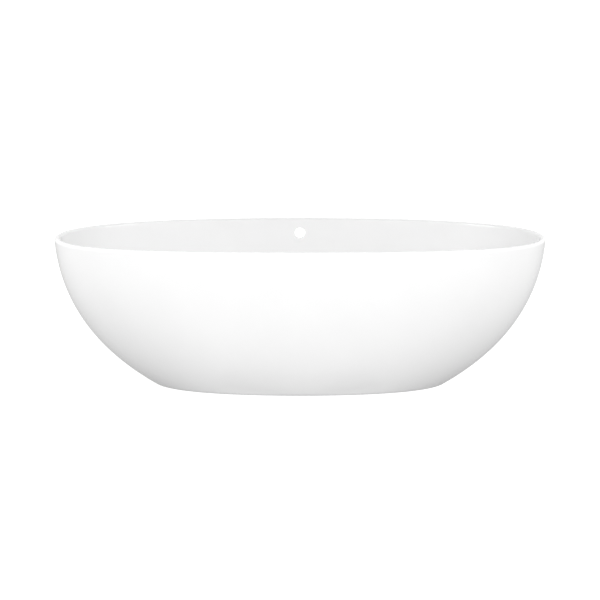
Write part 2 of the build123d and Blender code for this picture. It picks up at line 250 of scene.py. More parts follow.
class Mesh:
    """Points and faces gathered for one piece."""

    def __init__(self):
        self.points = []
        self.faces = []
        self.finishes = []

    def loop(self, points):
        """Adds points and returns their numbers."""
        first = len(self.points)
        self.points.extend(tuple(map(float, point)) for point in points)
        return list(range(first, len(self.points)))

    def face(self, corners, finish=0):
        """Adds one face."""
        self.faces.append(tuple(corners))
        self.finishes.append(finish)

    def bridge(self, one, other, finish=0):
        """Joins two closed loops of equal count with quads."""
        for i in range(len(one)):
            j = (i + 1) % len(one)
            self.face((one[i], one[j], other[j], other[i]), finish)

    def chain(self, loops):
        """Joins each loop to the next one."""
        for one, other in zip(loops, loops[1:]):
            self.bridge(one, other)

    def build(self, name, materials, sharp=math.radians(40)):
        """Makes the piece, with unused points dropped and all faces turned outward."""
        data = bpy.data.meshes.new(name)
        data.from_pydata(self.points, [], self.faces)
        for polygon, finish in zip(data.polygons, self.finishes):
            polygon.material_index = finish
        piece = bpy.data.objects.new(name, data)
        bpy.context.scene.collection.objects.link(piece)
        for material in materials:
            data.materials.append(material)
        work = bmesh.new()
        work.from_mesh(data)
        loose = [vertex for vertex in work.verts if not vertex.link_faces]
        bmesh.ops.delete(work, geom=loose, context="VERTS")
        bmesh.ops.recalc_face_normals(work, faces=work.faces)
        work.to_mesh(data)
        work.free()
        data.shade_smooth()
        data.set_sharp_from_angle(angle=sharp)
        return piece


def all_round(segments):
    """Evenly spaced angles round a full turn."""
    return np.linspace(0, 2 * math.pi, segments, endpoint=False)


def ring_points(x, y, radii, angles, heights):
    """Points round an upright axis; a single radius or height holds for all of them."""
    return [(x + radius * math.cos(angle), y + radius * math.sin(angle), height)
            for radius, angle, height in np.broadcast(radii, angles, heights)]


def spaced(stops, counts):
    """Numbers from the first stop to the last, with this many even steps between each two."""
    spans = [np.linspace(a, b, n + 1)[:-1] for a, b, n in zip(stops, stops[1:], counts)]
    return np.append(np.concatenate(spans), stops[-1])


# ---- the casting ----

WINDOW = 12                     # faces along each edge of the patch that surrounds a hole or a boss
WINDOW_RINGS = 7
OUTER_ROWS = (40, WINDOW, 5)    # rows of faces below, across and above the overflow hole's patch
BASIN_ROWS = (4, WINDOW, 56)
HOLLOW_ROWS = (12, WINDOW, 40)
LIP_ROWS = 10
QUARTER_COLUMNS = (26, WINDOW, 22, WINDOW // 2)
HOLE_PATCH = 1.75               # a patch reaches this many times as far as the round feature in it
BOSS_PATCH = 1.5
POLISHED = 0
RAW = 1
ROUNDING_STEPS = 5

# A turn and a share near each round feature, from which its place on a surface is found.
NEAR_HOLE_OUTSIDE = (0.999, 0.85)
NEAR_HOLE_INSIDE = (0.999, 0.1)
NEAR_BOSS = (0.5, 0.35)


def patch_extent(rings, target, axes, start, reach):
    """Where a round feature sits on a surface, and how far its surrounding patch goes each way."""
    turns, shares = find_on_skin(rings, np.array([target]), axes, *start)
    turn, share = turns[0], shares[0]
    nudge = 1e-4
    here, by_turn, by_share = skin_points(
        rings, np.array([turn, turn + nudge, turn]), np.array([share, share, share + nudge]))
    turn_reach = reach * nudge / np.linalg.norm(by_turn - here)
    share_reach = reach * nudge / np.linalg.norm(by_share - here)
    return turn, share, turn_reach, share_reach


def window_rim(rows, columns):
    """Row and column numbers round a patch, in order."""
    low, high = rows
    left, right = columns
    return ([(low, column) for column in range(left, right)]
            + [(row, right) for row in range(low, high)]
            + [(high, column) for column in range(right, left, -1)]
            + [(row, left) for row in range(high, low, -1)])


def round_patch(mesh, skin, rim_numbers, rim_places, centre, axes, radius, start, finish):
    """Fills a patch from its square rim to a circle; returns the circle's numbers, points and angles."""
    rim_turns, rim_shares = np.array(rim_places).T
    rim_points = skin_points(skin, rim_turns, rim_shares)[:, axes]
    angles = np.arctan2(rim_points[:, 1] - centre[1], rim_points[:, 0] - centre[0])
    circle = np.stack([centre[0] + radius * np.cos(angles), centre[1] + radius * np.sin(angles)], 1)
    turns, shares = find_on_skin(skin, circle, axes, *start)
    last = rim_numbers
    crowding = 0.8              # under 1, the rings crowd towards the circle
    for step in range(1, WINDOW_RINGS + 1):
        mix = (step / WINDOW_RINGS) ** crowding
        points = skin_points(skin, rim_turns + (turns - rim_turns) * mix,
                             rim_shares + (shares - rim_shares) * mix)
        following = mesh.loop(points)
        mesh.bridge(last, following, finish)
        last = following
    return last, points, angles


def in_angle_order(numbers, angles):
    """A loop's numbers sorted by angle, so that two loops can be joined."""
    return [numbers[i] for i in np.argsort(angles % (2 * math.pi))]


def quarter_bends():
    """The angles of a small rounded edge, from just after its start to its end."""
    return [math.pi / 2 * step / ROUNDING_STEPS for step in range(1, ROUNDING_STEPS + 1)]


def overflow_bore_side(mesh, numbers, points, angles, inward):
    """Rounds one rim of the overflow hole and turns it into the bore."""
    last = numbers
    for bend in quarter_bends():
        radius = OVERFLOW_RADIUS + OVERFLOW_EDGE * (1 - math.sin(bend))
        depth = OVERFLOW_EDGE * (1 - math.cos(bend))
        ring = [(radius * math.cos(a), p[1] + inward * depth, OVERFLOW_HEIGHT + radius * math.sin(a))
                for a, p in zip(angles, points)]
        following = mesh.loop(ring)
        mesh.bridge(last, following, POLISHED)
        last = following
    return last


def foot_boss(mesh, numbers, angles, centre, root):
    """Grows a tapered boss down from the underside, with its socket for the threaded insert."""
    last = numbers

    def grow(radius, heights):
        following = mesh.loop(ring_points(*centre, radius, angles, heights))
        mesh.bridge(last, following, RAW)
        return following

    for bend in quarter_bends():
        drop = FOOT_BOSS_BLEND * (1 - math.cos(bend))
        radius = root + FOOT_BOSS_BLEND * (1 - math.sin(bend))
        last = grow(radius, [mesh.points[number][2] - drop for number in numbers])
    edge = FOOT_BOSS_EDGE
    for radius, height in ((FOOT_BOSS_RADIUS + FOOT_BOSS_DRAFT * edge, FOOT_BOSS_BOTTOM + edge),
                           (FOOT_BOSS_RADIUS - edge * 0.3, FOOT_BOSS_BOTTOM + edge * 0.3),
                           (FOOT_BOSS_RADIUS - edge, FOOT_BOSS_BOTTOM),
                           (FOOT_SOCKET_RADIUS, FOOT_BOSS_BOTTOM),
                           (FOOT_SOCKET_RADIUS, FOOT_SOCKET_TOP)):
        last = grow(radius, height)
    mesh.face(last, RAW)


def foot_place(foot):
    """The middle of a foot, in plan."""
    low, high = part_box("foot_" + foot + "_stud")
    return (low.x + high.x) / 2, (low.y + high.y) / 2


def bath_casting(gel_coat, raw_backing):
    """The bath in one closed mesh: outer wall, lip, basin, waste recess, hollow and bosses."""
    outer, basin, hollow = outer_rings(), basin_rings(), hollow_rings()
    level = [0, 2]
    plan = [0, 1]
    hole = (0.0, OVERFLOW_HEIGHT)
    reach = OVERFLOW_RADIUS * HOLE_PATCH
    _, out_share, hole_turn, out_reach = patch_extent(outer, hole, level, NEAR_HOLE_OUTSIDE, reach)
    _, in_share, _, in_reach = patch_extent(basin, hole, level, NEAR_HOLE_INSIDE, reach)
    boss_root = FOOT_BOSS_RADIUS + FOOT_BOSS_DRAFT * FOOT_BOSS_BOTTOM
    boss_circle = boss_root + FOOT_BOSS_BLEND
    boss_turn, boss_share, boss_turn_reach, boss_reach = patch_extent(
        hollow, foot_place("back_right"), plan, NEAR_BOSS, boss_circle * BOSS_PATCH)

    quarter = spaced([0, boss_turn - boss_turn_reach, boss_turn + boss_turn_reach, 1 - hole_turn, 1],
                     QUARTER_COLUMNS)
    turns = np.concatenate([quarter[:-1], 2 - quarter[:0:-1], 2 + quarter[:-1], 4 - quarter[:0:-1]])
    columns = len(turns)
    out_shares = spaced([ARRIS_SHARE, out_share - out_reach, out_share + out_reach, 1], OUTER_ROWS)
    in_shares = spaced([0, in_share - in_reach, in_share + in_reach, 1], BASIN_ROWS)
    low_shares = spaced([0, boss_share - boss_reach, boss_share + boss_reach, 1], HOLLOW_ROWS)
    lip_shares = np.linspace(0, 1, LIP_ROWS + 1)
    foot_ring = (BASE_HALF_LENGTH - BASE_EDGE, 0, BASE_HALF_WIDTH - BASE_EDGE, 0, BASE_FULLNESS)

    mesh = Mesh()
    rows = []

    def add_rows(grid):
        rows.extend([mesh.loop(row) for row in grid])
        return len(rows)

    add_rows(skin_grid(outer, turns, out_shares))
    add_rows(skin_grid(lip_outer_rings(), turns, lip_shares)[1:])
    basin_start = add_rows(skin_grid(lip_inner_rings(), turns, lip_shares)[1:]) - 1
    polished_rows = add_rows(skin_grid(basin, turns, in_shares)[1:]) + 4
    hollow_start = add_rows([skin_grid([ring, ring], turns, [0])[0] for ring in recess_rings()])
    add_rows(skin_grid(hollow, turns, low_shares))
    add_rows(skin_grid([foot_ring, foot_ring], turns, [0]))

    def window(first_row, rows_before, middle_column):
        low = first_row + rows_before
        half = WINDOW // 2
        return (low, low + WINDOW), (middle_column - half, middle_column + half)

    side = len(quarter) - 1
    hole_outside = window(0, OUTER_ROWS[0], side)
    hole_inside = window(basin_start, BASIN_ROWS[0], side)
    boss_column = QUARTER_COLUMNS[0] + WINDOW // 2
    boss_columns = {"back_right": boss_column, "back_left": 2 * side - boss_column,
                    "front_left": 2 * side + boss_column, "front_right": 4 * side - boss_column}
    bosses = {foot: window(hollow_start, HOLLOW_ROWS[0], column) for foot, column in boss_columns.items()}

    skipped = set()
    for (low, high), (left, right) in [hole_outside, hole_inside, *bosses.values()]:
        skipped |= {(row, column) for row in range(low, high) for column in range(left, right)}
    for row in range(len(rows)):
        following = (row + 1) % len(rows)
        finish = POLISHED if row < polished_rows or following == 0 else RAW
        for column in range(columns):
            if (row, column) not in skipped:
                beside = (column + 1) % columns
                mesh.face((rows[row][column], rows[row][beside],
                           rows[following][beside], rows[following][column]), finish)

    def fill(skin, window_span, shares, first_row, centre, axes, radius, finish):
        rim = window_rim(*window_span)
        numbers = [rows[row][column % columns] for row, column in rim]
        places = [(turns[column % columns], shares[row - first_row]) for row, column in rim]
        start = np.mean(places, axis=0)
        return round_patch(mesh, skin, numbers, places, centre, axes, radius, start, finish)

    lip_circle = OVERFLOW_RADIUS + OVERFLOW_EDGE
    bore_ends = []
    for skin, span, shares, first_row, inward in ((outer, hole_outside, out_shares, 0, -1),
                                                  (basin, hole_inside, in_shares, basin_start, 1)):
        numbers, points, angles = fill(
            skin, span, shares, first_row, hole, level, lip_circle, POLISHED)
        numbers = overflow_bore_side(mesh, numbers, points, angles, inward)
        bore_ends.append(in_angle_order(numbers, angles))
    mesh.bridge(*bore_ends, POLISHED)
    for foot, span in bosses.items():
        centre = foot_place(foot)
        numbers, _, angles = fill(
            hollow, span, low_shares, hollow_start, centre, plan, boss_circle, RAW)
        foot_boss(mesh, numbers, angles, centre, boss_root)

    piece = mesh.build("bath_casting", [gel_coat, raw_backing])
    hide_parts("bath_shell")
    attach(piece, "bath")


# ---- turned pieces ----

class Place:
    """Where a node stands: its middle in plan, its two ends and its radius."""

    def __init__(self, node):
        low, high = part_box(node)
        self.x = (low.x + high.x) / 2
        self.y = (low.y + high.y) / 2
        self.low = low.z
        self.high = high.z
        self.radius = min(high.x - low.x, high.y - low.y) / 2


def rounded(corners):
    """An outline from (radius, height, round) corners; each round starts that far from its corner."""
    points = []
    for i, (radius, height, bend) in enumerate(corners):
        here = Vector((radius, height))
        if not bend:
            points.append(here)
            continue
        before = here + (Vector(corners[i - 1][:2]) - here).normalized() * bend
        after = here + (Vector(corners[(i + 1) % len(corners)][:2]) - here).normalized() * bend
        for share in np.linspace(0, 1, ROUNDING_STEPS):
            left = 1 - share
            points.append(before * left ** 2 + here * 2 * share * left + after * share ** 2)
    return points


def turn(mesh, outline, x=0.0, y=0.0, segments=96, closed=False):
    """Turns an outline about an upright axis; an end on the axis is closed to a point."""
    angles = all_round(segments)
    on_axis = 1e-7
    loops = []
    for radius, height in outline:
        if radius < on_axis:
            loops.append(mesh.loop([(x, y, height)]))
        else:
            loops.append(mesh.loop(ring_points(x, y, radius, angles, height)))
    pairs = list(zip(loops, loops[1:]))
    if closed:
        pairs.append((loops[-1], loops[0]))
    for one, other in pairs:
        if len(one) > 1 and len(other) > 1:
            mesh.bridge(one, other)
            continue
        middle, ring = (one[0], other) if len(one) == 1 else (other[0], one)
        for i in range(len(ring)):
            mesh.face((middle, ring[i], ring[(i + 1) % len(ring)]))


def threaded(mesh, bottom, top, crest, pitch, depth, x, y, segments):
    """Makes a screw thread that runs out at both ends; returns its first and last loops."""
    angles = all_round(segments)
    loops_each_turn = 6
    flank = 2.3                 # over 2, so that crest and root keep narrow flats
    loops = []
    for height in np.linspace(bottom, top, int((top - bottom) / pitch * loops_each_turn) + 1):
        runout = min(1.0, (height - bottom) / pitch, (top - height) / pitch)
        turns = (height / pitch - angles / (2 * math.pi)) % 1
        cut = np.clip(flank * (0.5 - np.abs(turns - 0.5)), 0, 1)
        radii = crest - depth * cut * runout
        loops.append(mesh.loop(ring_points(x, y, radii, angles, height)))
    mesh.chain(loops)
    return loops[0], loops[-1]


def finish_piece(mesh, node, body, material):
    """Builds a piece in place of its node, on its body."""
    piece = mesh.build(node + "_piece", [material])
    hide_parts(node)
    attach(piece, body)
    return piece


def turned_piece(node, corners, body, material, segments=96, closed=False):
    """A piece turned whole from its (radius, height, round) corners."""
    at = Place(node)
    mesh = Mesh()
    turn(mesh, rounded(corners), at.x, at.y, segments, closed)
    finish_piece(mesh, node, body, material)


def flat_ring(node, bore, body, material, edge, bulge=0.0):
    """A washer, gasket or seal with its edges rounded and, in soft material, its rim pressed out."""
    at = Place(node)
    middle = (at.low + at.high) / 2
    rim = at.radius - bulge
    corners = [(bore, at.low, edge), (rim, at.low, edge), (at.radius, middle, 0), (rim, at.high, edge),
               (bore, at.high, edge)]
    if not bulge:
        del corners[2]
    turned_piece(node, corners, body, material, closed=True)


def hexagon_nut(mesh, flats, bore, low, high, x, y, steps=12):
    """A hexagon nut with its corners turned off and its arrises broken."""
    segments = 6 * steps
    angles = all_round(segments)
    across = flats / 2
    half_side = math.pi / 6
    corner_turned = 0.992
    hexagon = across / np.cos((angles + half_side) % (2 * half_side) - half_side)
    hexagon = np.minimum(hexagon, across / math.cos(half_side) * corner_turned)
    chamfer = (hexagon - across) * math.tan(half_side)
    thin = (high - low) * 0.03
    rows = [(bore, low + 3 * thin), (bore + 2 * thin, low), (across - 2 * thin, low),
            (hexagon - thin, low + chamfer + thin * 0.4), (hexagon, low + chamfer + thin * 1.6),
            (hexagon, high - chamfer - thin * 1.6), (hexagon - thin, high - chamfer - thin * 0.4),
            (across - 2 * thin, high), (bore + 2 * thin, high), (bore, high - 3 * thin)]
    loops = [mesh.loop(ring_points(x, y, radii, angles, heights)) for radii, heights in rows]
    mesh.chain(loops + loops[:1])


# ---- the waste and its push plug ----

WASTE_SEGMENTS = 96
TAIL_RADIUS = 23.9 * MM
TAIL_BORE = 21 * MM
TAIL_CHAMFER = 0.7 * MM
TAIL_THREAD_DEPTH = 1.1 * MM
TAIL_PITCH = 25.4 / 11 * MM     # eleven threads to the inch
TAIL_THREAD_TOP = 67 * MM
BACK_NUT_FLATS = 60 * MM
FLANGE_THICKNESS = 2.5 * MM
MOUTH_RADIUS = 31 * MM          # the plug's cap falls into a seat this wide
SEAT_DEPTH = 2.2 * MM
MOUTH_DEPTH = 4.4 * MM
MOUTH_LIP = 2 * MM
ARM_WIDTH = 3 * MM
ARM_LOW = 68 * MM
ARM_HIGH = 74 * MM
ARM_SINK = 0.6 * MM             # each arm runs this far into the tail's wall
ARM_FLARE = 4 * MM              # and widens over this length before it
HUB_RADIUS = 9 * MM
HUB_BORE = 6.5 * MM
HUB_LOW = 66 * MM
HUB_HIGH = 77 * MM
WASHER_BORE = 24.4 * MM
SLEEVE_BORE = 5 * MM
SLEEVE_FLOOR = 3.5 * MM
GRIP_GROOVES = 5
GRIP_PITCH = 2 * MM
GRIP_HALF_WIDTH = 0.4 * MM
GRIP_DEPTH = 0.25 * MM
DRAIN_RADIUS = 1.7 * MM
STEM_RADIUS = 3 * MM
RUNNING_GAP = 0.05 * MM
COLLAR_LOW = 6 * MM             # above the stem's own lower end
COLLAR_HIGH = 10 * MM
PILOT_RADIUS = 2.8 * MM
SPRING_WIRE = 0.8 * MM
SPRING_TURNS = 6
CAP_BOSS_RADIUS = 6 * MM
CAP_RIM = 5.4 * MM              # the cap's rim is this far below its crown
CAP_EDGE = 1.6 * MM
KEEPER_RADIUS = 13.5 * MM
KEEPER_THICKNESS = 0.8 * MM
SEAL_BORE = 12 * MM
SEAL_THICKNESS = 2.4 * MM


def cross_arm(mesh, angle):
    """One arm of the cross under the plug, with its upper edges rounded for the water."""
    half = ARM_WIDTH / 2
    across = rounded([(-half, ARM_LOW, 0.4 * MM), (half, ARM_LOW, 0.4 * MM),
                      (half, ARM_HIGH, 1.2 * MM), (-half, ARM_HIGH, 1.2 * MM)])
    loops = []
    for reach in np.linspace(HUB_RADIUS - MM, TAIL_BORE + ARM_SINK, 7):
        flared = max(0.0, (reach - TAIL_BORE + ARM_FLARE) / (ARM_FLARE + ARM_SINK))
        wide = 1 + 0.5 * flared ** 2
        loops.append(mesh.loop([(reach * math.cos(angle) - point.x * wide * math.sin(angle),
                                 reach * math.sin(angle) + point.x * wide * math.cos(angle), point.y)
                                for point in across]))
    mesh.chain(loops)
    mesh.face(loops[0])
    mesh.face(loops[-1])


def waste_body(chrome):
    """The chromed body: flange and mouth in the dish, threaded tail below, and the cross inside."""
    at = Place("waste_body")
    flange_low = at.high - FLANGE_THICKNESS
    thread_low = at.low + TAIL_CHAMFER
    mesh = Mesh()
    first, last = threaded(mesh, thread_low, TAIL_THREAD_TOP, TAIL_RADIUS, TAIL_PITCH,
                           TAIL_THREAD_DEPTH, at.x, at.y, WASTE_SEGMENTS)
    upper = rounded([(TAIL_RADIUS, TAIL_THREAD_TOP, 0), (TAIL_RADIUS, flange_low, 0.2 * MM),
                     (at.radius, flange_low, 0.4 * MM), (at.radius, at.high, 1.1 * MM),
                     (MOUTH_RADIUS, at.high, 0.5 * MM),
                     (TAIL_BORE + MOUTH_LIP, at.high - SEAT_DEPTH, 1.2 * MM),
                     (TAIL_BORE, at.high - MOUTH_DEPTH, 1.2 * MM), (TAIL_BORE, at.low, 0.3 * MM),
                     (TAIL_RADIUS - TAIL_CHAMFER, at.low, 0.2 * MM), (TAIL_RADIUS, thread_low, 0)])
    loops = [last]
    angles = all_round(WASTE_SEGMENTS)
    for radius, height in upper[1:-1]:
        loops.append(mesh.loop(ring_points(at.x, at.y, radius, angles, height)))
    loops.append(first)
    mesh.chain(loops)
    for quarter in range(4):
        cross_arm(mesh, quarter * math.pi / 2)
    turn(mesh, rounded([(HUB_BORE, HUB_LOW, 0.3 * MM), (HUB_RADIUS, HUB_LOW, 0.8 * MM),
                        (HUB_RADIUS, HUB_HIGH, 1.2 * MM), (HUB_BORE, HUB_HIGH, 0.3 * MM)]),
         at.x, at.y, closed=True)
    finish_piece(mesh, "waste_body", "bath", chrome)


def waste_flange_gasket(foam):
    """The foam gasket squeezed under the flange."""
    flat_ring("waste_flange_gasket", WASHER_BORE, "bath", foam,
              edge=0.3 * MM, bulge=0.3 * MM)


def waste_under_seal(rubber):
    """The thick rubber seal squeezed against the underside."""
    flat_ring("waste_under_seal", WASHER_BORE, "bath", rubber,
              edge=0.7 * MM, bulge=0.5 * MM)


def waste_slip_washer(nylon):
    """The washer that lets the back nut turn without dragging the seal."""
    flat_ring("waste_slip_washer", WASHER_BORE, "bath", nylon, edge=0.3 * MM)


def waste_back_nut(brass):
    """The large hexagon nut that clamps the waste from below."""
    at = Place("waste_back_nut")
    mesh = Mesh()
    hexagon_nut(mesh, BACK_NUT_FLATS, TAIL_RADIUS, at.low, at.high, at.x, at.y)
    finish_piece(mesh, "waste_back_nut", "bath", brass)


def cartridge_sleeve(brass):
    """The turned cup that holds the spring, with a drain hole in its floor."""
    at = Place("cartridge_sleeve")
    grip_low = HUB_HIGH + 3 * MM
    corners = [(DRAIN_RADIUS, at.low, 0.3 * MM), (at.radius, at.low, 0.6 * MM)]
    for groove in range(GRIP_GROOVES):
        middle = grip_low + groove * GRIP_PITCH
        corners += [(at.radius, middle - GRIP_HALF_WIDTH, 0), (at.radius - GRIP_DEPTH, middle, 0.1 * MM),
                    (at.radius, middle + GRIP_HALF_WIDTH, 0)]
    floor = at.low + SLEEVE_FLOOR
    corners += [(at.radius, at.high, 0.5 * MM), (SLEEVE_BORE, at.high, 0.2 * MM),
                (SLEEVE_BORE, floor, 0.3 * MM), (DRAIN_RADIUS, floor, 0.2 * MM)]
    turned_piece("cartridge_sleeve", corners, "bath", brass, segments=64, closed=True)


def cartridge_bush(nylon):
    """The nylon bush in the sleeve's mouth that guides the stem."""
    flat_ring("cartridge_bush", STEM_RADIUS + RUNNING_GAP, "bath", nylon, edge=0.3 * MM)


def cartridge_spring(spring_steel):
    """The coil spring: a round wire wound into an even helix, with its two cut ends capped."""
    at = Place("cartridge_spring")
    wire = SPRING_WIRE / 2
    radius = at.radius - wire
    length = at.high - at.low
    steps_each_turn = 40
    mesh = Mesh()
    loops = []
    for share in np.linspace(0, 1, SPRING_TURNS * steps_each_turn + 1):
        angle = share * SPRING_TURNS * 2 * math.pi
        out = Vector((math.cos(angle), math.sin(angle), 0))
        centre = Vector((at.x, at.y, at.low + wire + (length - 2 * wire) * share)) + out * radius
        loops.append(mesh.loop([centre + out * (wire * math.cos(a)) + Vector((0, 0, wire * math.sin(a)))
                                for a in all_round(12)]))
    mesh.chain(loops)
    mesh.face(loops[0])
    mesh.face(loops[-1])
    piece = finish_piece(mesh, "cartridge_spring", "bath", spring_steel)
    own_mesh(piece)


def plug_stem(brass):
    """The turned stem with its collar and its spring pilot."""
    at = Place("plug_stem")
    collar_low = at.low + COLLAR_LOW
    collar_high = at.low + COLLAR_HIGH
    corners = [(0, at.low, 0), (PILOT_RADIUS, at.low, 0.5 * MM),
               (PILOT_RADIUS, collar_low, 0.1 * MM), (at.radius, collar_low, 0.2 * MM),
               (at.radius, collar_high, 0.2 * MM), (STEM_RADIUS, collar_high, 0.1 * MM),
               (STEM_RADIUS, at.high, 0.4 * MM), (0, at.high, 0)]
    turned_piece("plug_stem", corners, "plug", brass, segments=48)


def plug_cap(chrome):
    """The domed cap that is pressed with a thumb or a foot."""
    at = Place("plug_cap")
    rim = at.high - CAP_RIM
    seal_low = rim - SEAL_THICKNESS
    keeper_low = seal_low - KEEPER_THICKNESS
    stem_end = Place("plug_stem").high
    corners = [(0, stem_end, 0), (STEM_RADIUS, stem_end, 0), (STEM_RADIUS, at.low, 0.3 * MM),
               (CAP_BOSS_RADIUS, at.low, 0.6 * MM), (CAP_BOSS_RADIUS, keeper_low, 0.5 * MM),
               (KEEPER_RADIUS, keeper_low, 0.2 * MM), (KEEPER_RADIUS, seal_low, 0.1 * MM),
               (SEAL_BORE, seal_low, 0.1 * MM), (SEAL_BORE, rim, 0.1 * MM), (at.radius, rim, 0.5 * MM)]
    outline = rounded(corners + [(at.radius, rim + CAP_EDGE, 0)])
    dome_rise = CAP_RIM - CAP_EDGE
    for share in np.linspace(1, 0, 20):
        outline.append(Vector((at.radius * share, at.high - dome_rise * share ** 2)))
    mesh = Mesh()
    turn(mesh, outline, at.x, at.y, segments=128)
    finish_piece(mesh, "plug_cap", "plug", chrome)


def plug_seal(rubber):
    """The rubber ring that closes the mouth."""
    flat_ring("plug_seal", SEAL_BORE, "plug", rubber, edge=0.4 * MM, bulge=0.4 * MM)


# ---- the levelling feet ----

STUD_THREAD_LOW = 18 * MM
STUD_THREAD_HIGH = 58 * MM
STUD_SEGMENTS = 32
STUD_CHAMFER = 1.2 * MM
STUD_PITCH = 1.75 * MM          # M12 coarse
STUD_THREAD_DEPTH = 0.95 * MM
INSERT_FLANGE = 2 * MM
INSERT_FLANGE_RADIUS = 13 * MM
INSERT_BARREL = 9 * MM
INSERT_BORE = 6.05 * MM
LOCK_NUT_FLATS = 19 * MM
PAD_HUB_RADIUS = 11 * MM
PAD_HUB_FOOT = 1.5 * MM         # the pad's top sweeps up into its hub over this width
PAD_EDGE_HEIGHT = 6 * MM
SOLE_GROOVES = 6
SOLE_GROOVE_TOP = 0.4 * MM      # half the groove's width at its top, and at its mouth
SOLE_GROOVE_MOUTH = 0.7 * MM
SOLE_GROOVE_DEPTH = 0.5 * MM


def foot_inserts(brass):
    """The four flanged threaded inserts, in one node."""
    at = Place("foot_inserts")
    mesh = Mesh()
    for foot in FEET:
        x, y = foot_place(foot)
        turn(mesh, rounded([(INSERT_BORE, at.low, 0.5 * MM), (INSERT_FLANGE_RADIUS, at.low, 0.4 * MM),
                            (INSERT_FLANGE_RADIUS, at.low + INSERT_FLANGE, 0.1 * MM),
                            (INSERT_BARREL, at.low + INSERT_FLANGE, 0.1 * MM),
                            (INSERT_BARREL, at.high, 0.4 * MM), (INSERT_BORE, at.high, 0.3 * MM)]),
             x, y, segments=48, closed=True)
    finish_piece(mesh, "foot_inserts", "bath", brass)


def foot_lock_nuts(zinc):
    """The four thin lock nuts, in one node."""
    at = Place("foot_lock_nuts")
    mesh = Mesh()
    for foot in FEET:
        x, y = foot_place(foot)
        hexagon_nut(mesh, LOCK_NUT_FLATS, INSERT_BORE, at.low, at.high, x, y, steps=8)
    finish_piece(mesh, "foot_lock_nuts", "bath", zinc)


def foot_stud(foot, zinc):
    """An M12 stud, threaded where it stands clear of the pad and runs through the lock nut."""
    node_name = "foot_" + foot + "_stud"
    at = Place(node_name)
    mesh = Mesh()
    turn(mesh, rounded([(0, at.low, 0), (at.radius, at.low, 0.6 * MM), (at.radius, STUD_THREAD_LOW, 0)]),
         at.x, at.y, STUD_SEGMENTS)
    threaded(mesh, STUD_THREAD_LOW, STUD_THREAD_HIGH, at.radius, STUD_PITCH, STUD_THREAD_DEPTH,
             at.x, at.y, STUD_SEGMENTS)
    turn(mesh, rounded([(at.radius, STUD_THREAD_HIGH, 0), (at.radius, at.high - STUD_CHAMFER, 0.3 * MM),
                        (at.radius - STUD_CHAMFER, at.high, 0.3 * MM), (0, at.high, 0)]),
         at.x, at.y, STUD_SEGMENTS)
    finish_piece(mesh, node_name, "foot_" + foot, zinc)


def foot_pad(foot, nylon):
    """The moulded pad: a disc with a hub round the stud."""
    node_name = "foot_" + foot + "_pad"
    at = Place(node_name)
    stud = Place("foot_" + foot + "_stud")
    edge_top = at.low + PAD_EDGE_HEIGHT
    corners = [(0, at.low, 0), (at.radius, at.low, 0.6 * MM), (at.radius, edge_top, 1.6 * MM),
               (PAD_HUB_RADIUS + PAD_HUB_FOOT, edge_top + MM, 1.2 * MM),
               (PAD_HUB_RADIUS, at.high, 0.9 * MM), (stud.radius, at.high, 0.4 * MM),
               (stud.radius, stud.low, 0), (0, stud.low, 0)]
    turned_piece(node_name, corners, "foot_" + foot, nylon, segments=72)


def foot_sole(foot, rubber):
    """The rubber sole, with shallow rings moulded in its underside for grip."""
    node_name = "foot_" + foot + "_sole"
    at = Place(node_name)
    corners = [(0, at.low, 0)]
    groove_top = at.low + SOLE_GROOVE_DEPTH
    for groove in range(1, SOLE_GROOVES + 1):
        middle = at.radius * groove / (SOLE_GROOVES + 1)
        corners += [(middle - SOLE_GROOVE_MOUTH, at.low, 0.1 * MM),
                    (middle - SOLE_GROOVE_TOP, groove_top, 0.1 * MM),
                    (middle + SOLE_GROOVE_TOP, groove_top, 0.1 * MM),
                    (middle + SOLE_GROOVE_MOUTH, at.low, 0.1 * MM)]
    corners += [(at.radius, at.low, 0.5 * MM), (at.radius, at.high, 0.3 * MM), (0, at.high, 0)]
    turned_piece(node_name, corners, "foot_" + foot, rubber, segments=72)


# ---- materials ----

def linear(hex_colour):
    """An sRGB hex colour as the linear colour that a shader takes."""
    parts = [int(hex_colour[i:i + 2], 16) / 255 for i in (1, 3, 5)]
    return [p / 12.92 if p <= 0.04045 else ((p + 0.055) / 1.055) ** 2.4 for p in parts] + [1.0]


def node(material, kind, sockets=None, **settings):
    """Adds a node with its settings; each socket takes a value or another node's output."""
    made = material.node_tree.nodes.new("ShaderNode" + kind)
    for name, value in settings.items():
        setattr(made, name, value)
    for name, value in (sockets or {}).items():
        if isinstance(value, bpy.types.NodeSocket):
            material.node_tree.links.new(value, made.inputs[name])
        else:
            made.inputs[name].default_value = value
    return made


def new_material(name, **shader_values):
    """A material with its shader's own values set; returns it with its shader."""
    material = bpy.data.materials.new(name)
    material.use_nodes = True
    shader = material.node_tree.nodes["Principled BSDF"]
    for socket, value in shader_values.items():
        shader.inputs[socket.replace("_", " ")].default_value = value
    return material, shader


def patterned_material(name, **shader_values):
    """A new material, with the coordinates in metres that its pattern is laid in."""
    material, shader = new_material(name, **shader_values)
    return material, shader, node(material, "TexCoord").outputs["Object"]


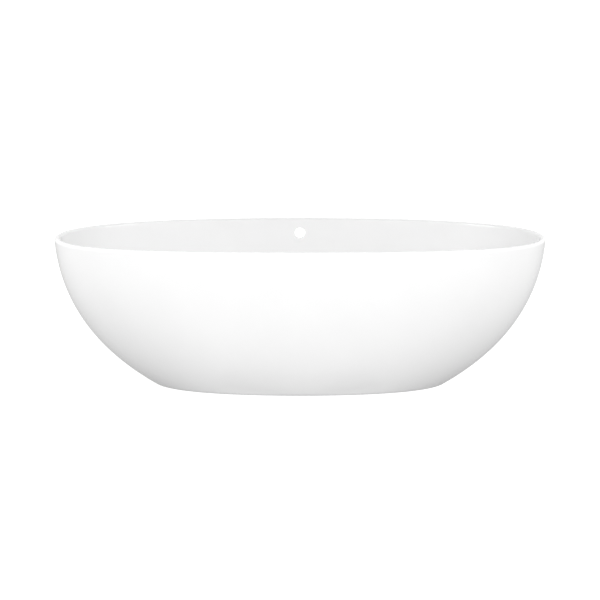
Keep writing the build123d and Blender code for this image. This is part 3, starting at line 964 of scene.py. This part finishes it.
def polished_gel_coat():
    """White polyester gel coat on cast mineral resin, sprayed and then wet-sanded and buffed."""
    material, shader, place = patterned_material("polished_gel_coat", IOR=1.5)
    link = material.node_tree.links.new
    # The sprayed coat is not quite even in thickness, which gives a very faint cloudiness,
    # in patches about 200 mm across.
    cloud = node(material, "TexNoise", {"Vector": place, "Scale": 1 / 0.2, "Detail": 3.0})
    white = node(material, "ValToRGB", {"Fac": cloud.outputs["Fac"]})
    white.color_ramp.elements[0].color = linear("#ececec")
    white.color_ramp.elements[1].color = linear("#f1f1f1")
    link(white.outputs["Color"], shader.inputs["Base Color"])
    # Buffing leaves the gloss a little uneven over patches about the size of the mop, 80 mm.
    mop = node(material, "TexNoise", {"Vector": place, "Scale": 1 / 0.08, "Detail": 4.0})
    gloss = node(material, "MapRange", {"Value": mop.outputs["Fac"], "To Min": 0.09, "To Max": 0.15})
    link(gloss.outputs["Result"], shader.inputs["Roughness"])
    # Orange peel of a sprayed coat, 9 mm across and a few microns deep, drawn a little deeper to show.
    peel = node(material, "TexNoise", {"Vector": place, "Scale": 1 / 0.009, "Detail": 1.0})
    bump = node(material, "Bump", {"Height": peel.outputs["Fac"], "Strength": 0.25, "Distance": 0.02 * MM})
    link(bump.outputs["Normal"], shader.inputs["Normal"])
    return material


def raw_cast_backing():
    """The unpolished back of the cast mineral resin, as it leaves the mould."""
    material, shader, place = patterned_material("raw_cast_backing", IOR=1.5, Roughness=0.75)
    link = material.node_tree.links.new
    # Crushed-stone filler shows as pale and dark specks of about 1 mm, drawn 3 mm to show.
    specks = node(material, "TexVoronoi", {"Vector": place, "Scale": 1 / 0.003})
    body = node(material, "ValToRGB", {"Fac": specks.outputs["Color"]})
    body.color_ramp.elements[0].color = linear("#b9b6af")
    body.color_ramp.elements[1].color = linear("#d6d3cc")
    link(body.outputs["Color"], shader.inputs["Base Color"])
    # The open side of the mould leaves a dull, slightly lumpy skin, with lumps about 12 mm across.
    skin = node(material, "TexNoise", {"Vector": place, "Scale": 1 / 0.012, "Detail": 6.0})
    bump = node(material, "Bump", {"Height": skin.outputs["Fac"], "Strength": 0.6, "Distance": 0.4 * MM})
    link(bump.outputs["Normal"], shader.inputs["Normal"])
    return material


def polished_chrome():
    """Chrome plate over polished brass."""
    material, shader, place = patterned_material("polished_chrome", Metallic=1.0)
    link = material.node_tree.links.new
    # Wiping leaves hair-fine scratches about 0.5 mm apart, which only soften the reflections.
    wipe = node(material, "TexNoise", {"Vector": place, "Scale": 1 / 0.0005, "Detail": 2.0})
    gloss = node(material, "MapRange", {"Value": wipe.outputs["Fac"], "To Min": 0.04, "To Max": 0.11})
    link(gloss.outputs["Result"], shader.inputs["Roughness"])
    # Water spots dull the plate a little in patches of about 6 mm.
    spots = node(material, "TexNoise", {"Vector": place, "Scale": 1 / 0.006, "Detail": 2.0})
    tint = node(material, "ValToRGB", {"Fac": spots.outputs["Fac"]})
    tint.color_ramp.elements[0].color = linear("#c9cccf")
    tint.color_ramp.elements[1].color = linear("#d8dadc")
    link(tint.outputs["Color"], shader.inputs["Base Color"])
    return material


def turned_brass():
    """Brass bar turned on a lathe and left bright."""
    material, shader, place = patterned_material("turned_brass", Metallic=1.0)
    link = material.node_tree.links.new
    # The tool leaves fine rings 0.25 mm apart up the length of each piece, drawn 0.5 mm apart to show.
    # A wave texture repeats 20 times for each step of its scale.
    feed = node(material, "TexWave", {"Vector": place, "Scale": 1 / (0.0005 * 20), "Distortion": 0.6},
                bands_direction="Z")
    bump = node(material, "Bump", {"Height": feed.outputs["Fac"], "Strength": 0.3, "Distance": 0.02 * MM})
    link(bump.outputs["Normal"], shader.inputs["Normal"])
    # Handling tarnishes it in soft patches about 10 mm across, which are darker and duller.
    tarnish = node(material, "TexNoise", {"Vector": place, "Scale": 1 / 0.01, "Detail": 4.0})
    tint = node(material, "ValToRGB", {"Fac": tarnish.outputs["Fac"]})
    tint.color_ramp.elements[0].color = linear("#b08d4c")
    tint.color_ramp.elements[1].color = linear("#d9b56a")
    link(tint.outputs["Color"], shader.inputs["Base Color"])
    gloss = node(material, "MapRange", {"Value": tarnish.outputs["Fac"], "To Min": 0.34, "To Max": 0.2})
    link(gloss.outputs["Result"], shader.inputs["Roughness"])
    return material


def zinc_plated_steel():
    """Mild steel with bright zinc plate."""
    material, shader, place = patterned_material("zinc_plated_steel", Metallic=1.0)
    link = material.node_tree.links.new
    # The plating leaves a bluish grey with a slight cloudiness, in patches about 4 mm across.
    cloud = node(material, "TexNoise", {"Vector": place, "Scale": 1 / 0.004, "Detail": 5.0})
    tint = node(material, "ValToRGB", {"Fac": cloud.outputs["Fac"]})
    tint.color_ramp.elements[0].color = linear("#a9afb4")
    tint.color_ramp.elements[1].color = linear("#c6cacd")
    link(tint.outputs["Color"], shader.inputs["Base Color"])
    gloss = node(material, "MapRange", {"Value": cloud.outputs["Fac"], "To Min": 0.42, "To Max": 0.28})
    link(gloss.outputs["Result"], shader.inputs["Roughness"])
    return material


def drawn_spring_steel():
    """Hard-drawn spring wire."""
    material, shader, place = patterned_material("drawn_spring_steel", Metallic=1.0)
    link = material.node_tree.links.new
    # The die leaves a grey sheen with faint marks about 0.8 mm long.
    die_marks = node(material, "TexNoise", {"Vector": place, "Scale": 1 / 0.0008, "Detail": 3.0})
    tint = node(material, "ValToRGB", {"Fac": die_marks.outputs["Fac"]})
    tint.color_ramp.elements[0].color = linear("#7f8285")
    tint.color_ramp.elements[1].color = linear("#a4a7a9")
    link(tint.outputs["Color"], shader.inputs["Base Color"])
    gloss = node(material, "MapRange", {"Value": die_marks.outputs["Fac"], "To Min": 0.3, "To Max": 0.45})
    link(gloss.outputs["Result"], shader.inputs["Roughness"])
    return material


def mould_grain(material, shader, place, size, colours, roughness):
    """The fine even grain that a mould leaves, in colour, gloss and relief."""
    link = material.node_tree.links.new
    grain = node(material, "TexNoise", {"Vector": place, "Scale": 1 / size, "Detail": 4.0})
    tint = node(material, "ValToRGB", {"Fac": grain.outputs["Fac"]})
    for stop, colour in zip(tint.color_ramp.elements, colours):
        stop.color = linear(colour)
    link(tint.outputs["Color"], shader.inputs["Base Color"])
    low, high = roughness
    gloss = node(material, "MapRange", {"Value": grain.outputs["Fac"], "To Min": low, "To Max": high})
    link(gloss.outputs["Result"], shader.inputs["Roughness"])
    bump = node(material, "Bump", {"Height": grain.outputs["Fac"], "Strength": 0.5, "Distance": size / 20})
    link(bump.outputs["Normal"], shader.inputs["Normal"])


def moulded_black_rubber():
    """Black rubber, pressed in a heated mould, for the seals and the soles."""
    material, shader, place = patterned_material("moulded_black_rubber", IOR=1.52)
    # The mould's eroded face leaves it evenly dull, with a bloom in grains 1.5 mm across.
    mould_grain(material, shader, place, 1.5 * MM, ("#161616", "#232323"), (0.62, 0.78))
    return material


def closed_cell_foam():
    """Black closed-cell foam, cut from sheet, for the gasket under the flange."""
    material, shader, place = patterned_material("closed_cell_foam", IOR=1.45)
    # The cut cells, 0.6 mm across, scatter light and leave it quite without shine.
    mould_grain(material, shader, place, 0.6 * MM, ("#1f1f1f", "#3a3a3a"), (0.82, 0.98))
    return material


def moulded_natural_nylon():
    """Uncoloured nylon, injection moulded, for the washer and the bush."""
    material, shader, place = patterned_material("natural_nylon", IOR=1.53)
    # It is milky and a little waxy, with flow marks about 2 mm across.
    mould_grain(material, shader, place, 2 * MM, ("#d9d5c6", "#e4e1d5"), (0.32, 0.48))
    return material


def moulded_black_nylon():
    """Black glass-filled nylon, injection moulded, for the pads of the feet."""
    material, shader, place = patterned_material("moulded_black_nylon", IOR=1.53)
    # The glass shows at the surface as a satin grain about 1 mm across.
    mould_grain(material, shader, place, 1 * MM, ("#141414", "#1e1e1e"), (0.42, 0.58))
    return material


# ---- the stage ----

SKY = 1.1                       # brightness of the pale surround, where 1 is white
STAGE_SIZE = 90
WHITE_FLOOR = ("white_floor", 0.2 * MM, 0.93, "#808080")     # name, drop, glow and paint
GREY_FLOOR = ("grey_floor", 1.0 * MM, 0.40, "#5c5c5c")
FRONT_PLACE = (4.0, -3.6, 3.0)
FRONT_POWER = 120
BACK_PLACE = (2.6, 4.6, 2.6)
BACK_POWER = 5
SOFT_BOX = 2.6
LIGHT_AIM = (0, 0, 0.3)
CARD_SIZE = (2.9, 1.2)
CARD_HEIGHT = 1.45
# The flag is a darker patch laid on the floor: painted shadow in front of the skirt.
FLAG_SIZE = (0.64, 0.14)
FLAG_PLACE = -0.41              # in front of the skirt
CAMERA_ELEVATION = math.radians(9.62)
CAMERA_DISTANCE = 40.0
FRAME_WIDTH = 2.324             # metres seen across the frame at the bath
AIM_HEIGHT = 0.317


def glowing_paint(name, glow, paint):
    """A painted surface that is also lit evenly from behind."""
    material, shader = new_material(name, Roughness=0.9)
    shader.inputs["Base Color"].default_value = linear(paint)
    shader.inputs["Emission Color"].default_value = linear("#ffffff")
    shader.inputs["Emission Strength"].default_value = glow
    return material


def stage_plane(name, size, drop, glow, paint):
    """A level painted sheet, this far below the floor."""
    mesh = Mesh()
    mesh.face(mesh.loop([(-size, -size, -drop), (size, -size, -drop), (size, size, -drop),
                         (-size, size, -drop)]))
    sheet = mesh.build(name, [glowing_paint(name + "_paint", glow, paint)])
    return sheet


def seen_by(sheet, camera_sees, light_sees):
    """Sets whether a sheet shows to the camera and whether it takes part in the lighting."""
    sheet.visible_camera = camera_sees
    for kind in ("diffuse", "glossy", "transmission", "shadow"):
        setattr(sheet, "visible_" + kind, light_sees)


def floors():
    """The white floor that the camera sees, and the darker one that lights the bath from below."""
    name, drop, glow, paint = WHITE_FLOOR
    seen_by(stage_plane(name, STAGE_SIZE, drop, glow, paint), True, False)
    name, drop, glow, paint = GREY_FLOOR
    seen_by(stage_plane(name, STAGE_SIZE, drop, glow, paint), False, True)


def dark_cards():
    """A card above that shades the basin, and a small darker flag laid on the floor in front of the skirt,
    a painted shadow there, that darkens the foot of the front.
    """
    card = stage_plane("dark_card", 0.5, -CARD_HEIGHT, 0.1, "#404040")
    card.scale = (*CARD_SIZE, 1)
    seen_by(card, False, True)
    # A darker, dimmer-glowing patch of floor in front of the skirt: painted shadow that takes bounced
    # light from the foot of the front.
    flag = stage_plane("painted_floor_shadow", 0.5, 0.5 * MM, 0.28, "#4c4c4c")
    flag.location = (0, FLAG_PLACE, 0)
    flag.scale = (*FLAG_SIZE, 1)
    seen_by(flag, False, True)


def soft_box(name, place, power):
    """A square studio light that faces the bath."""
    data = bpy.data.lights.new(name, "AREA")
    data.shape = "SQUARE"
    data.size = SOFT_BOX
    data.energy = power
    lamp = bpy.data.objects.new(name, data)
    lamp.location = place
    lamp.rotation_mode = "QUATERNION"
    lamp.rotation_quaternion = (Vector(LIGHT_AIM) - Vector(place)).to_track_quat("-Z", "Y")
    bpy.context.scene.collection.objects.link(lamp)


def surround():
    """An evenly pale room."""
    world = bpy.data.worlds.new("studio_air")
    world.use_nodes = True
    background = world.node_tree.nodes["Background"]
    background.inputs["Color"].default_value = linear("#ffffff")
    background.inputs["Strength"].default_value = SKY
    bpy.context.scene.world = world


def studio():
    """A pale surround, its floors, large soft lights on both sides and the dark cards."""
    surround()
    floors()
    for side, name in ((-1, "left"), (1, "right")):
        x, y, z = FRONT_PLACE
        soft_box("front_" + name + "_light", (side * x, y, z), FRONT_POWER)
        x, y, z = BACK_PLACE
        soft_box("back_" + name + "_light", (side * x, y, z), BACK_POWER)
    dark_cards()


def camera():
    """A long lens from far in front, a little above the rim."""
    data = bpy.data.cameras.new("camera")
    data.lens = data.sensor_width * CAMERA_DISTANCE / FRAME_WIDTH
    data.clip_end = 1000
    eye = bpy.data.objects.new("camera", data)
    back = Vector((0, -math.cos(CAMERA_ELEVATION), math.sin(CAMERA_ELEVATION)))
    eye.location = Vector((0, 0, AIM_HEIGHT)) + back * CAMERA_DISTANCE
    eye.rotation_mode = "QUATERNION"
    eye.rotation_quaternion = (-back).to_track_quat("-Z", "Y")
    bpy.context.scene.collection.objects.link(eye)
    bpy.context.scene.camera = eye


bpy.context.scene.view_settings.view_transform = "Standard"
camera()
studio()
chrome = polished_chrome()
brass = turned_brass()
zinc = zinc_plated_steel()
black_rubber = moulded_black_rubber()
natural_nylon = moulded_natural_nylon()
black_nylon = moulded_black_nylon()

bath_casting(polished_gel_coat(), raw_cast_backing())
waste_body(chrome)
waste_flange_gasket(closed_cell_foam())
waste_under_seal(black_rubber)
waste_slip_washer(natural_nylon)
waste_back_nut(brass)
cartridge_sleeve(brass)
cartridge_bush(natural_nylon)
cartridge_spring(drawn_spring_steel())
plug_stem(brass)
plug_cap(chrome)
plug_seal(black_rubber)
foot_inserts(brass)
foot_lock_nuts(zinc)
for foot in FEET:
    foot_stud(foot, zinc)
    foot_pad(foot, black_nylon)
    foot_sole(foot, black_rubber)
